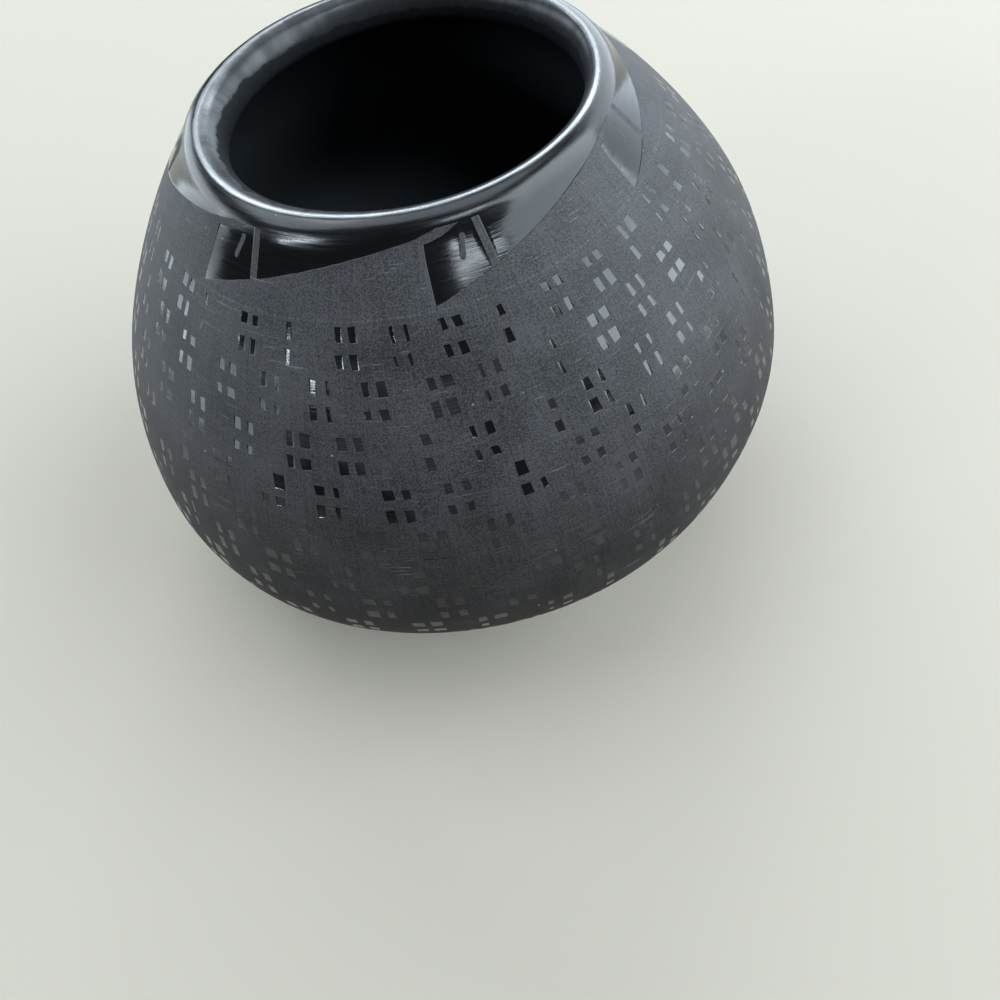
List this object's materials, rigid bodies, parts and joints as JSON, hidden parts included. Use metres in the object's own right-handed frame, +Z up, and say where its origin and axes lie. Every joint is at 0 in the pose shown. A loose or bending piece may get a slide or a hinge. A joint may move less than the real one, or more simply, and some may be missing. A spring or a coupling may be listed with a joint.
{
  "type": "pueblo pottery jar",
  "caption": "Small squat coil-built blackware jar with a rounded belly, closed-in shoulder, low collar and round open mouth on a flat foot.",
  "frame": {"origin": "on the standing plane, under the middle of the foot", "axes": "+Z up along the jar's axis, from the foot to the mouth; +X and +Y across the jar, which is round"},
  "size_m": [0.075, 0.075, 0.0542],
  "materials": {
    "matte_slip": "matte",
    "burnished_slip": "gloss"
  },
  "bodies": {
    "root": {"base_pad": "burnished_slip", "coil_course_1": "matte_slip", "coil_course_2": "matte_slip", "coil_course_3": "matte_slip", "coil_course_4": "matte_slip", "rim_coil": "burnished_slip"}
  },
  "joints": []
}
